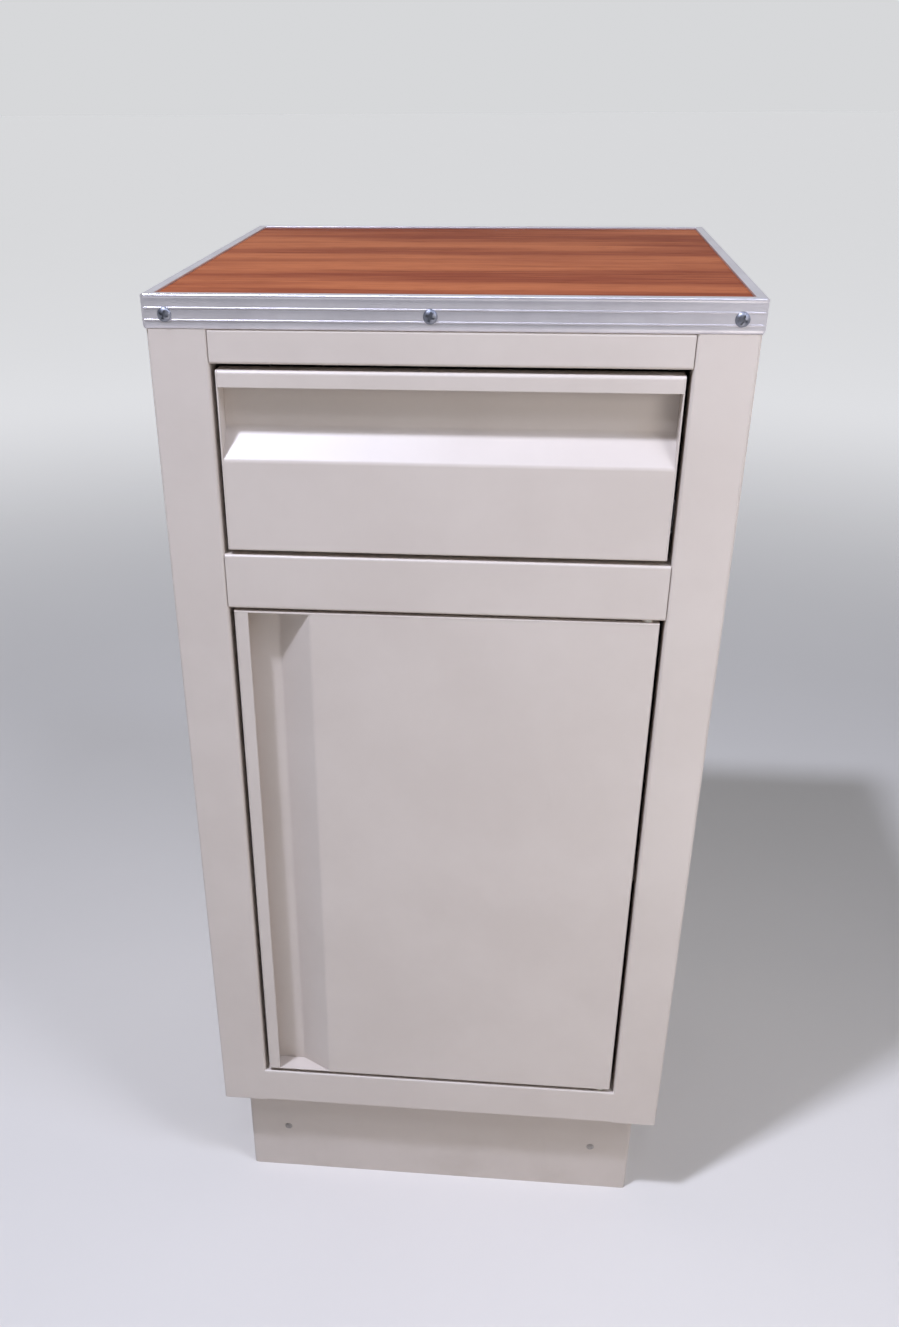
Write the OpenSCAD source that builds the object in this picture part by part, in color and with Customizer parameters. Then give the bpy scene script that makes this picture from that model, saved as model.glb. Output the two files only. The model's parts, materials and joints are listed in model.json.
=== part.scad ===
// Bedside cabinet: a folded sheet steel body on a recessed plinth, with one drawer,
// one door on pivot pins, and a laminate top board edged in ribbed aluminium.
// Millimetres. Origin at the middle of the footprint on the floor, front facing -Y, +Z up.

/* [Overall] */
// Width of the steel body
body_w = 400; // [340:1:520]
// Depth of the steel body
body_d = 400; // [370:1:520]
// Height from the floor to the top of the edging
total_h = 808; // [720:1:980]

/* [Body] */
// Thickness of the steel sheet
sheet_t = 1; // [0.8:0.1:1.2]
// Width of the front post on each side
stile_w = 41; // [34:1:50]
// Depth of the fold behind each front post
stile_return = 20; // [18:1:26]
// Width of the folded edges that carry the top and the plinth
flange_w = 26; // [22:1:32]
// Width of the folded edge at the back of each side
rear_flange_w = 15; // [12:1:20]
// Height of the front strip above the drawer
top_rail_h = 22; // [18:1:34]
// Height of the front strip between drawer and door
mid_rail_h = 40.5; // [30:0.5:60]
// Height of the front strip below the door
bottom_rail_h = 36; // [30:1:50]
// Depth of the folded edges of the front strips
rail_d = 38; // [36:1:50]
// Depth of the cross strip under the back of the top
rear_rail_d = 20; // [15:1:30]
// Height of the drawer opening
drawer_open_h = 131.5; // [125:0.5:170]

/* [Top] */
// Thickness of the board
board_t = 19; // [16:1:25]
// Thickness of the laminate sheet
laminate_t = 1; // [0.6:0.1:1.4]
// Thickness of the aluminium edging
edging_t = 1.5; // [1.2:0.1:2]
// How far the edging stands out from the steel body
edging_proud = 1; // [0.5:0.1:1.1]
// Width of the edging's lip round the laminate
edging_lip = 7; // [5:0.5:10]
// Height that the ribs stand out from the edging
rib_h = 0.4; // [0.3:0.1:0.6]
// Distance of the upper rib below the top
upper_rib_drop = 8.5; // [7:0.5:9]
// Distance of the lower rib below the top
lower_rib_drop = 16; // [15:0.5:17]

/* [Edging screws] */
// Distance of the screws below the top
edge_screw_drop = 12.5; // [11:0.5:14]
// Distance of the end screws from the corners
edge_screw_inset = 15; // [15:1:30]
// Offset of the middle screw from the middle of its side
edge_screw_offset = -11; // [-20:1:20]
// Diameter of the pan heads
edge_head_d = 9.5; // [7:0.5:10]
// Height of the pan heads
edge_head_h = 2.6; // [2:0.1:3.5]
// Diameter of the shanks
edge_shank_d = 3.5; // [3:0.1:4]
// Length of the shanks
edge_shank_len = 12; // [10:0.5:12]

/* [Plinth] */
// Height of the plinth
plinth_h = 104; // [70:1:130]
// Distance of the plinth's front and back behind the body's
plinth_inset = 20; // [10:1:40]
// Distance of the plinth's ends inside the body's sides
plinth_side_inset = 18; // [8:1:20]
// Width of the plinth's folded edges
plinth_flange_w = 15; // [10:1:20]
// Distance of the plinth's rivets from its ends
plinth_rivet_inset = 36.5; // [25:0.5:50]
// Height of the plinth's rivets above the floor
plinth_rivet_z = 52; // [35:1:85]
// Diameter of a rivet head on the plinth
plinth_rivet_d = 7; // [5:0.5:9]

/* [Drawer] */
// Gap beside the drawer front and the door
side_gap = 3.5; // [3:0.1:5]
// Gap above the drawer front
drawer_top_gap = 4; // [2.5:0.1:5]
// Gap below the drawer front
drawer_bottom_gap = 3.5; // [2.5:0.1:5]
// Depth of the finger pulls in the drawer front and the door
pull_d = 16; // [13:0.5:18]
// Height of the lip above the drawer's pull
drawer_lip_h = 11; // [8:0.5:15]
// Distance from the drawer's top edge to the foot of its pull's back wall
drawer_pull_crease = 40; // [32:1:44]
// Distance from the drawer's top edge to the foot of its pull's slope
drawer_pull_foot = 60; // [50:1:70]
// Height of the tray behind the drawer front
tray_h = 90; // [60:1:95]
// Length of the tray
tray_len = 358; // [300:1:358]
// Height of the tray's floor above the strip below it
tray_lift = 13; // [10:1:16]
// Gap between the tray and the fixed runners
tray_gap = 3; // [2.5:0.1:4]

/* [Runners] */
// Length of the runners
runner_len = 350; // [300:1:350]
// Thickness of the runners' steel
runner_t = 1.2; // [1:0.1:1.3]
// Width of the fixed runners
runner_w = 11; // [11:0.5:13]
// Diameter of the nylon rollers
roller_d = 19; // [16:1:22]
// Width of the nylon rollers
roller_w = 6; // [5:0.5:6]
// Distance of each roller from its runner's end
roller_inset = 16; // [14:1:25]
// Diameter of the rollers' pins
roller_pin_d = 6; // [5:0.5:7]

/* [Door] */
// Gap above the door
door_top_gap = 2.5; // [2:0.1:5]
// Gap below the door
door_bottom_gap = 4; // [3:0.1:6]
// Width of the lip beside the door's pull
door_lip_w = 10.5; // [8:0.5:14]
// Distance from the door's edge to the foot of its pull's back wall
door_pull_crease = 30.5; // [26:0.5:36]
// Distance from the door's edge to the foot of its pull's slope
door_pull_foot = 56.5; // [48:0.5:64]
// Distance of the pivots from the door's edge
pivot_inset = 8.5; // [8:0.1:9]
// Distance of the pivots behind the door's face
pivot_back = 6.5; // [6.5:0.1:7]
// Diameter of the pivot pins
pivot_d = 5; // [4:0.5:5]
// Outer diameter of the pivot bushes
bush_d = 8; // [7.5:0.1:8]
// Length of the pivot bushes
bush_len = 12; // [8:1:16]

/* [Cupboard] */
// Height of the shelf above the cupboard's floor
shelf_h = 230; // [120:1:280]
// Depth of the shelf's folded lips
shelf_lip = 15; // [10:1:25]
// Gap between the shelf and the sides
shelf_gap = 1.5; // [0.5:0.1:3]
// Diameter of the shelf studs
stud_d = 6; // [5:0.5:8]
// Distance of the magnetic catch from the middle
catch_x = 95; // [60:1:110]
// Width of the magnetic catch
catch_w = 46; // [38:1:60]

/* [Hidden] */
// Gap between pieces that move past each other
run_gap = 0.3;
// Radial clearance of a pin in its hole
pin_play = 0.05;
// Gap round a notch cut for another sheet
notch_gap = 0.5;
// Gap between the laminate and the edging's lip
laminate_gap = 0.2;
$fn = 48;

front_y = -body_d / 2;
back_y = body_d / 2;
open_w = body_w - 2 * stile_w;
top_h = board_t + laminate_t + edging_t;
body_top = total_h - top_h;
drawer_open_top = body_top - top_rail_h;
mid_top = drawer_open_top - drawer_open_h;
mid_bottom = mid_top - mid_rail_h;
bottom_top = plinth_h + bottom_rail_h;

edging_w = body_w + 2 * edging_proud;
edging_d = body_d + 2 * edging_proud;
board_w = edging_w - 2 * edging_t;
board_d = edging_d - 2 * edging_t;
laminate_w = edging_w - 2 * (edging_lip + laminate_gap);
laminate_d = edging_d - 2 * (edging_lip + laminate_gap);
lip_t = laminate_t + edging_t;
edge_screw_z = total_h - edge_screw_drop;

front_panel_w = open_w - 2 * side_gap;
front_panel_d = pull_d + sheet_t;
panel_back_y = front_y + front_panel_d;
drawer_top = drawer_open_top - drawer_top_gap;
drawer_bottom = mid_top + drawer_bottom_gap;
drawer_return_h = 20;

runner_x = open_w / 2 + sheet_t;
tray_w = 2 * (runner_x - runner_w - tray_gap);
tray_z = mid_top + tray_lift;
runner_front_y = front_y + stile_return + 2;
runner_z = tray_z + 4;
roller_z = runner_z + runner_t + run_gap + roller_d / 2;
rider_z = roller_z + roller_d / 2 + run_gap;
runner_h = rider_z + runner_t + 2 * run_gap + runner_t - runner_z;
roller_side_gap = 1.4;
roller_x = runner_x - runner_w + roller_side_gap + roller_w;
roller_head_d = 9;
roller_head_t = 0.6;
roller_head_gap = 0.2;
fixed_roller_y = runner_front_y + roller_inset;
riding_roller_y = runner_front_y + runner_len - roller_inset;
rider_edge_x = runner_x - runner_t - roller_side_gap;
tray_ledge_w = 10;
bracket_h = 44;
bracket_z = runner_z + (runner_h - bracket_h) / 2;
bracket_flange_w = 12;
runner_screw_z = roller_z;
runner_fix_ys = [for (f = [0.2, 0.5, 0.8]) runner_front_y + f * runner_len];
runner_screw_d = 4;
runner_screw_head_d = 7;
runner_screw_head_h = 1;
runner_screw_len = 6;
tray_rivet_z = tray_z + 8;
tray_rivet_d = 3;
tray_rivet_head_d = 6;
tray_rivet_head_h = 0.8;

door_top = mid_bottom - door_top_gap;
door_bottom = bottom_top + door_bottom_gap;
pivot_x = front_panel_w / 2 - pivot_inset;
pivot_y = front_y + pivot_back;
pivot_reach = 2 * sheet_t + bush_len;
pivot_head_d = 10;
pivot_head_h = 2;
bush_flange_d = bush_d + 2.6;
bush_flange_t = 1.5;
door_return_w = 12;

catch_d = 16;
catch_h = 14;
strike_w = 40;
strike_h = 12;
strike_t = 1.2;
magnet_w = 32;
magnet_h = 6;
magnet_d = 10;
catch_front_y = panel_back_y + sheet_t + strike_t + run_gap;
catch_screw_d = 3;
catch_screw_head_d = 6;
catch_screw_head_h = 1.5;

shelf_z = bottom_top - sheet_t + shelf_h;
shelf_front_y = catch_front_y + 5;
shelf_back_y = back_y - 2 * sheet_t - shelf_gap;
stud_ys = [front_y + 80, back_y - 80];
stud_len = 10;
stud_head_d = 9;
stud_head_t = 1;

plinth_w = body_w - 2 * plinth_side_inset;
plinth_d = body_d - 2 * plinth_inset;
plinth_bracket_leg = 55;
plinth_bracket_h = 30;
plinth_rivet_head_t = 1;
plinth_rivet_shank_d = plinth_rivet_d / 2;

top_screw_x = body_w / 2 - flange_w / 2;
top_screw_ys = [front_y + 80, back_y - 80];
top_screw_d = 4;
top_screw_head_d = 8;
top_screw_head_h = 1.5;
top_screw_len = 14;
back_rivet_rows = 5;
back_rivet_head_d = 6;
back_rivet_head_t = 0.9;
back_rivet_d = 3;

paint = [0.85, 0.83, 0.83];
zinc = [0.70, 0.71, 0.74];
alu = [0.74, 0.73, 0.76];
nylon = [0.93, 0.93, 0.90];
cherry = [0.62, 0.33, 0.23];
chipboard = [0.76, 0.62, 0.44];
graphite = [0.20, 0.20, 0.21];

// ---------- shared shapes ----------

// Unit vector to the left of the line from a to b
function left_of(a, b) = let (d = b - a) [-d[1], d[0]] / norm(d);

// Where point i of a fold line lands on the sheet's other face, mitred at the bends
function other_face(p, i, t) =
    i == 0 ? p[0] + t * left_of(p[0], p[1])
    : i == len(p) - 1 ? p[i] + t * left_of(p[i - 1], p[i])
    : let (n = left_of(p[i - 1], p[i]), m = left_of(p[i], p[i + 1])) p[i] + t * (n + m) / (1 + n * m);

// Cross-section of a sheet folded along the line p, with its thickness on the left
module folded(p, t = sheet_t) {
    polygon(concat(p, [for (i = [len(p) - 1 : -1 : 0]) other_face(p, i, t)]));
}

// Extrudes a (y, z) cross-section along X, centred
module along_x(length) {
    translate([-length / 2, 0, 0]) rotate([90, 0, 90]) linear_extrude(length) children();
}

// Extrudes an (x, z) cross-section along Y from y0 towards +Y
module along_y(y0, length) {
    translate([0, y0 + length, 0]) rotate([90, 0, 0]) linear_extrude(length) children();
}

// The same piece on the other side
module mirrored_x() {
    mirror([1, 0, 0]) children();
}

// The children on both sides
module both_sides() {
    children();
    mirrored_x() children();
}

// Solid box from one corner to the other
module span(low, high) {
    translate(low) cube(high - low);
}

// Round pin along +X from x0 to x1
module pin_x(x0, x1, d, y, z) {
    translate([x0, y, z]) rotate([0, 90, 0]) cylinder(h = x1 - x0, d = d);
}

// Round pin along +Z from z0 to z1
module pin_z(z0, z1, d, x, y) {
    translate([x, y, z0]) cylinder(h = z1 - z0, d = d);
}

// Pan-headed screw pointing along -Z, seated on z = 0, with a cross recess
module pan_screw(head_d, head_h, shank_d, shank_len) {
    dome_r = (head_d * head_d / 4 + head_h * head_h) / (2 * head_h);
    difference() {
        union() {
            intersection() {
                translate([0, 0, head_h - dome_r]) sphere(r = dome_r);
                cylinder(h = head_h, d = head_d);
            }
            translate([0, 0, -shank_len]) cylinder(h = shank_len, d = shank_d);
        }
        for (turn = [0, 90])
            rotate([0, 0, turn])
                translate([-head_d / 4, -head_d / 14, head_h * 0.45])
                    cube([head_d / 2, head_d / 7, head_h]);
    }
}

// ---------- steel body ----------

module side_panel() {
    difference() {
        union() {
            translate([0, 0, plinth_h])
                linear_extrude(body_top - plinth_h)
                    folded([
                        [-body_w / 2 + rear_flange_w, back_y],
                        [-body_w / 2, back_y],
                        [-body_w / 2, front_y],
                        [-open_w / 2, front_y],
                        [-open_w / 2, front_y + stile_return]
                    ]);
            for (z = [plinth_h, body_top - sheet_t])
                span([-body_w / 2, front_y, z], [-body_w / 2 + flange_w, back_y, z + sheet_t]);
        }
        for (y = top_screw_ys)
            pin_z(body_top - 2 * sheet_t, body_top + sheet_t, top_screw_d + 2 * pin_play, -top_screw_x, y);
        for (y = stud_ys)
            pin_x(-body_w / 2 - sheet_t, -body_w / 2 + 2 * sheet_t, stud_d + 2 * pin_play, y, stud_z());
        back_rivet_holes();
    }
}

module left_side_panel() {
    color(paint) side_panel();
}

module right_side_panel() {
    color(paint) mirrored_x() side_panel();
}

// Places the children at each rivet of the left back edge
module at_back_rivets() {
    pitch = (body_top - plinth_h) / back_rivet_rows;
    for (row = [0 : back_rivet_rows - 1])
        translate([-body_w / 2 + rear_flange_w / 2 + sheet_t / 2, back_y, plinth_h + (row + 0.5) * pitch])
            rotate([-90, 0, 0]) children();
}

module back_rivet_holes() {
    at_back_rivets()
        translate([0, 0, -3 * sheet_t]) cylinder(h = 4 * sheet_t, d = back_rivet_d + 2 * pin_play);
}

module back_panel() {
    color(paint) difference() {
        span([-body_w / 2 + sheet_t, back_y - 2 * sheet_t, plinth_h + sheet_t],
             [body_w / 2 - sheet_t, back_y - sheet_t, body_top - sheet_t]);
        both_sides() back_rivet_holes();
    }
}

module back_panel_rivets() {
    color(zinc) both_sides() at_back_rivets() {
        cylinder(h = back_rivet_head_t, d = back_rivet_head_d);
        translate([0, 0, -2 * sheet_t - back_rivet_head_t])
            cylinder(h = 2 * sheet_t + back_rivet_head_t, d = back_rivet_d);
        translate([0, 0, -2 * sheet_t - back_rivet_head_t])
            cylinder(h = back_rivet_head_t, d = back_rivet_head_d * 0.75);
    }
}

// A front strip: a face with folded edges at its top and bottom
module front_strip(z0, z1, top_d, bottom_d) {
    along_x(open_w)
        folded([[front_y + bottom_d, z0], [front_y, z0], [front_y, z1], [front_y + top_d, z1]], -sheet_t);
}

module top_rail() {
    color(paint) front_strip(drawer_open_top, body_top, rail_d, stile_return);
}

module mid_rail() {
    color(paint) difference() {
        front_strip(mid_bottom, mid_top, rail_d, rail_d);
        pin_z(mid_bottom - sheet_t, mid_bottom + 2 * sheet_t, pivot_d + 2 * pin_play, pivot_x, pivot_y);
        at_catch_screws() cylinder(h = 4 * sheet_t, d = catch_screw_d + 2 * pin_play);
    }
}

module bottom_rail() {
    color(paint) difference() {
        front_strip(plinth_h, bottom_top, rail_d, stile_return);
        pin_z(bottom_top - 2 * sheet_t, bottom_top + sheet_t, pivot_d + 2 * pin_play, pivot_x, pivot_y);
    }
}

module rear_top_rail() {
    inner_y = back_y - 2 * sheet_t;
    color(paint) along_x(body_w - 2 * flange_w)
        folded([[inner_y - rear_rail_d, body_top], [inner_y, body_top],
                [inner_y, body_top - rear_rail_d], [inner_y - rear_rail_d, body_top - rear_rail_d]], -sheet_t);
}

module floor_pan() {
    z1 = bottom_top - sheet_t;
    z0 = z1 - sheet_t;
    half_w = body_w / 2 - sheet_t;
    y1 = back_y - 2 * sheet_t;
    post_y = front_y + stile_return + notch_gap;
    color(paint) difference() {
        union() {
            span([-half_w, front_y + sheet_t, z0], [half_w, y1, z1]);
            both_sides() span([-half_w, post_y, plinth_h + 2 * sheet_t], [-half_w + sheet_t, y1, z1]);
            span([-half_w, y1 - sheet_t, plinth_h + 2 * sheet_t], [half_w, y1, z1]);
        }
        both_sides()
            span([-body_w / 2, front_y, z0 - sheet_t], [-open_w / 2 + notch_gap, post_y, z1 + sheet_t]);
        pin_z(z0 - sheet_t, z1 + sheet_t, pivot_d + 2 * pin_play, pivot_x, pivot_y);
    }
}

// ---------- top ----------

// Places the children at each edging screw of all four edges, pointing out of the edge
module at_edge_screws() {
    for (turn = [0 : 90 : 270]) {
        along = turn % 180 == 0 ? edging_w : edging_d;
        out = turn % 180 == 0 ? edging_d : edging_w;
        for (x = [edge_screw_inset - along / 2, edge_screw_offset, along / 2 - edge_screw_inset])
            rotate([0, 0, turn])
                translate([x, -out / 2, edge_screw_z])
                    rotate([90, 0, 0]) children();
    }
}

module edge_screw_holes() {
    at_edge_screws()
        translate([0, 0, -edge_shank_len - 1])
            cylinder(h = edge_shank_len + 2, d = edge_shank_d + 2 * pin_play);
}

module top_board() {
    color(chipboard) difference() {
        span([-board_w / 2, -board_d / 2, body_top], [board_w / 2, board_d / 2, body_top + board_t]);
        edge_screw_holes();
        both_sides()
            for (y = top_screw_ys)
                pin_z(body_top - 1, body_top + top_screw_len, top_screw_d + 2 * pin_play, -top_screw_x, y);
    }
}

// The laminate lies on the board, inside the edging's lip
module top_laminate() {
    z0 = body_top + board_t;
    color(cherry)
        span([-laminate_w / 2, -laminate_d / 2, z0], [laminate_w / 2, laminate_d / 2, z0 + laminate_t]);
}

// An edging strip turned to its side of the board, its outer face out / 2 from the middle,
// with its wall cut short by butt at each end
module edging(turn, along, out, butt) {
    half = along / 2;
    color(alu) difference() {
        rotate([0, 0, turn]) translate([0, -out / 2, 0]) {
            span([-half + butt, 0, body_top], [half - butt, edging_t, total_h]);
            translate([0, 0, total_h - lip_t])
                linear_extrude(lip_t)
                    polygon([[-half + butt, 0], [half - butt, 0],
                             [half - edging_t, edging_t], [half - edging_lip, edging_lip],
                             [-half + edging_lip, edging_lip], [-half + edging_t, edging_t]]);
            for (drop = [upper_rib_drop, lower_rib_drop])
                pin_x(-half + butt, half - butt, 2 * rib_h, 0, total_h - drop);
        }
        edge_screw_seats();
        edge_screw_holes();
    }
}

// Flat seats that the ribs give way to under the screw heads
module edge_screw_seats() {
    at_edge_screws() cylinder(h = 2 * rib_h, d = edge_head_d + 2 * run_gap);
}

module edging_front() {
    edging(0, edging_w, edging_d, edging_t);
}

module edging_rear() {
    edging(180, edging_w, edging_d, edging_t);
}

module edging_left() {
    edging(-90, edging_d, edging_w, 0);
}

module edging_right() {
    edging(90, edging_d, edging_w, 0);
}

module edging_screws() {
    color(zinc) at_edge_screws() pan_screw(edge_head_d, edge_head_h, edge_shank_d, edge_shank_len);
}

module top_fixing_screws() {
    color(zinc) both_sides()
        for (y = top_screw_ys)
            translate([-top_screw_x, y, body_top - sheet_t])
                rotate([180, 0, 0])
                    pan_screw(top_screw_head_d, top_screw_head_h, top_screw_d, top_screw_len);
}

// ---------- plinth ----------

// A plinth wall turned to its side, its face out / 2 from the middle, with the wall
// cut short by butt and its folded edges by flange_butt at each end
module plinth_wall(turn, along, out, butt, flange_butt) {
    half = along / 2;
    color(paint) difference() {
        rotate([0, 0, turn]) translate([0, -out / 2, 0]) {
            span([-half + butt, 0, 0], [half - butt, sheet_t, plinth_h]);
            for (z = [0, plinth_h - sheet_t])
                span([-half + flange_butt, 0, z], [half - flange_butt, plinth_flange_w, z + sheet_t]);
        }
        plinth_rivet_holes();
    }
}

module plinth_front() {
    plinth_wall(0, plinth_w, plinth_d, 0, sheet_t);
}

module plinth_rear() {
    plinth_wall(180, plinth_w, plinth_d, 0, sheet_t);
}

module plinth_left() {
    plinth_wall(-90, plinth_d, plinth_w, sheet_t, plinth_flange_w);
}

module plinth_right() {
    plinth_wall(90, plinth_d, plinth_w, sheet_t, plinth_flange_w);
}

// Places the children at each plinth rivet on its outer face, pointing outwards
module at_plinth_rivets() {
    for (turn = [0 : 90 : 270]) {
        along = turn % 180 == 0 ? plinth_w : plinth_d;
        out = turn % 180 == 0 ? plinth_d : plinth_w;
        for (side = [-1, 1])
            rotate([0, 0, turn])
                translate([side * (along / 2 - plinth_rivet_inset), -out / 2, plinth_rivet_z])
                    rotate([90, 0, 0]) children();
    }
}

module plinth_rivet_holes() {
    at_plinth_rivets()
        translate([0, 0, -3 * sheet_t])
            cylinder(h = 4 * sheet_t, d = plinth_rivet_shank_d + 2 * pin_play);
}

module plinth_corner_brackets() {
    x = -plinth_w / 2 + sheet_t;
    y = -plinth_d / 2 + sheet_t;
    color(zinc) difference() {
        for (flip = [0, 1])
            mirror([0, flip, 0]) both_sides()
                translate([0, 0, plinth_rivet_z - plinth_bracket_h / 2])
                    linear_extrude(plinth_bracket_h)
                        folded([[x, y + plinth_bracket_leg], [x, y], [x + plinth_bracket_leg, y]]);
        plinth_rivet_holes();
    }
}

module plinth_rivets() {
    color(paint) at_plinth_rivets() {
        cylinder(h = plinth_rivet_head_t, d = plinth_rivet_d);
        translate([0, 0, -2 * sheet_t - plinth_rivet_head_t])
            cylinder(h = 2 * sheet_t + plinth_rivet_head_t, d = plinth_rivet_shank_d);
        translate([0, 0, -2 * sheet_t - plinth_rivet_head_t])
            cylinder(h = plinth_rivet_head_t, d = plinth_rivet_d * 0.75);
    }
}

// ---------- cupboard ----------

function stud_z() = shelf_z - sheet_t - stud_d / 2;

module shelf() {
    half_w = body_w / 2 - sheet_t - shelf_gap;
    color(paint) along_x(2 * half_w)
        folded([[shelf_front_y, shelf_z - shelf_lip], [shelf_front_y, shelf_z],
                [shelf_back_y, shelf_z], [shelf_back_y, shelf_z - shelf_lip]], -sheet_t);
}

module shelf_studs() {
    wall_x = -body_w / 2;
    color(zinc) both_sides()
        for (y = stud_ys) {
            pin_x(wall_x, wall_x + sheet_t + stud_len, stud_d, y, stud_z());
            pin_x(wall_x - stud_head_t / 2, wall_x, stud_head_d, y, stud_z());
        }
}

// Places the children at each catch screw on the strip's lower fold, pointing up
module at_catch_screws() {
    for (side = [-1, 1])
        translate([-catch_x + side * (catch_w / 2 - 4), catch_front_y + catch_d / 2 + 2, mid_bottom - sheet_t])
            children();
}

module catch_housing() {
    color(nylon) difference() {
        span([-catch_x - catch_w / 2, catch_front_y, mid_bottom - catch_h],
             [-catch_x + catch_w / 2, catch_front_y + catch_d, mid_bottom]);
        magnet_box(run_gap / 3);
        at_catch_screws() translate([0, 0, -catch_h]) {
            cylinder(h = 2 * catch_h, d = catch_screw_d + 2 * pin_play);
            cylinder(h = sheet_t + catch_screw_head_h, d = catch_screw_head_d + run_gap);
        }
    }
}

// The magnet's block, grown by play on its sides
module magnet_box(play) {
    z = mid_bottom - catch_h / 2 - 1;
    span([-catch_x - magnet_w / 2 - play, catch_front_y - play, z - magnet_h / 2 - play],
         [-catch_x + magnet_w / 2 + play, catch_front_y + magnet_d, z + magnet_h / 2 + play]);
}

module catch_magnet() {
    color(graphite) magnet_box(0);
}

module catch_screws() {
    reach = catch_h - sheet_t - catch_screw_head_h + 3 * sheet_t;
    color(zinc) at_catch_screws()
        translate([0, 0, -catch_h + sheet_t + catch_screw_head_h])
            rotate([180, 0, 0])
                pan_screw(catch_screw_head_d, catch_screw_head_h, catch_screw_d, reach);
}

// ---------- drawer runners ----------

module runner_bracket() {
    x = -runner_x;
    y0 = front_y + sheet_t;
    color(zinc) difference() {
        along_y(y0, back_y - 2 * sheet_t - y0)
            folded([[x - bracket_flange_w, bracket_z], [x, bracket_z],
                    [x, bracket_z + bracket_h], [x - bracket_flange_w, bracket_z + bracket_h]], runner_t);
        runner_screw_holes();
    }
}

module runner_screw_holes() {
    for (y = runner_fix_ys)
        pin_x(-runner_x - 2 * runner_t, -runner_x + 2 * runner_t, runner_screw_d + 2 * pin_play, y, runner_screw_z);
}

module cabinet_runner() {
    x = -runner_x;
    color(zinc) difference() {
        along_y(runner_front_y, runner_len)
            folded([[x + runner_w, runner_z], [x, runner_z],
                    [x, runner_z + runner_h], [x + runner_w, runner_z + runner_h]], -runner_t);
        runner_screw_holes();
    }
}

module left_runner_bracket() {
    runner_bracket();
}

module right_runner_bracket() {
    mirrored_x() runner_bracket();
}

module left_cabinet_runner() {
    cabinet_runner();
}

module right_cabinet_runner() {
    mirrored_x() cabinet_runner();
}

module runner_screws() {
    color(zinc) both_sides()
        for (y = runner_fix_ys)
            translate([-runner_x + runner_t, y, runner_screw_z])
                rotate([0, 90, 0])
                    pan_screw(runner_screw_head_d, runner_screw_head_h, runner_screw_d, runner_screw_len);
}

module roller(y) {
    color(nylon) difference() {
        pin_x(-roller_x, -roller_x + roller_w, roller_d, y, roller_z);
        pin_x(-roller_x - 1, -roller_x + roller_w + 1, roller_pin_d + 2 * pin_play, y, roller_z);
    }
}

module fixed_roller_pins() {
    color(zinc) both_sides() {
        end_x = -roller_x + roller_w + roller_head_gap;
        pin_x(-runner_x + runner_t, end_x, roller_pin_d, fixed_roller_y, roller_z);
        pin_x(end_x, end_x + roller_head_t, roller_head_d, fixed_roller_y, roller_z);
    }
}

module riding_roller_pins() {
    color(zinc) both_sides() {
        end_x = -roller_x - roller_head_gap;
        pin_x(end_x, -tray_w / 2 - runner_t, roller_pin_d, riding_roller_y, roller_z);
        pin_x(end_x - roller_head_t, end_x, roller_head_d, riding_roller_y, roller_z);
    }
}

module left_fixed_roller() {
    roller(fixed_roller_y);
}

module right_fixed_roller() {
    mirrored_x() roller(fixed_roller_y);
}

module left_riding_roller() {
    roller(riding_roller_y);
}

module right_riding_roller() {
    mirrored_x() roller(riding_roller_y);
}

// ---------- drawer ----------

module drawer_front() {
    lip_z = drawer_top - drawer_lip_h;
    color(paint) along_x(front_panel_w - 2 * sheet_t)
        folded([
            [front_y + sheet_t, lip_z],
            [front_y + sheet_t, drawer_top - sheet_t],
            [front_y + pull_d, drawer_top - sheet_t],
            [front_y + pull_d, drawer_top - drawer_pull_crease],
            [front_y, drawer_top - drawer_pull_foot],
            [front_y, drawer_bottom],
            [panel_back_y, drawer_bottom],
            [panel_back_y, drawer_bottom + drawer_return_h]
        ]);
}

module drawer_front_cheeks() {
    color(paint) both_sides()
        span([-front_panel_w / 2, front_y, drawer_bottom],
             [-front_panel_w / 2 + sheet_t, panel_back_y, drawer_top]);
}

module drawer_tray() {
    color(paint) difference() {
        span([-tray_w / 2, panel_back_y, tray_z], [tray_w / 2, panel_back_y + tray_len, tray_z + tray_h]);
        span([-tray_w / 2 + sheet_t, panel_back_y + sheet_t, tray_z + sheet_t],
             [tray_w / 2 - sheet_t, panel_back_y + tray_len - sheet_t, tray_z + tray_h + sheet_t]);
        both_sides() tray_rivet_holes();
    }
}

module tray_rivet_holes() {
    for (y = runner_fix_ys)
        pin_x(-tray_w / 2 - 2 * runner_t, -tray_w / 2 + 2 * sheet_t, tray_rivet_d + 2 * pin_play, y, tray_rivet_z);
}

module drawer_runner() {
    x = -tray_w / 2;
    color(zinc) difference() {
        along_y(runner_front_y, runner_len)
            folded([[x + tray_ledge_w, tray_z], [x, tray_z], [x, rider_z + runner_t],
                    [-rider_edge_x, rider_z + runner_t]], runner_t);
        tray_rivet_holes();
    }
}

module left_drawer_runner() {
    drawer_runner();
}

module right_drawer_runner() {
    mirrored_x() drawer_runner();
}

module drawer_runner_rivets() {
    outer_x = -tray_w / 2 - runner_t;
    inner_x = -tray_w / 2 + sheet_t;
    color(zinc) both_sides()
        for (y = runner_fix_ys) {
            pin_x(outer_x - tray_rivet_head_h, inner_x + tray_rivet_head_h, tray_rivet_d, y, tray_rivet_z);
            pin_x(outer_x - tray_rivet_head_h, outer_x, tray_rivet_head_d, y, tray_rivet_z);
            pin_x(inner_x, inner_x + tray_rivet_head_h, tray_rivet_head_d, y, tray_rivet_z);
        }
}

// ---------- door ----------

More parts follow.
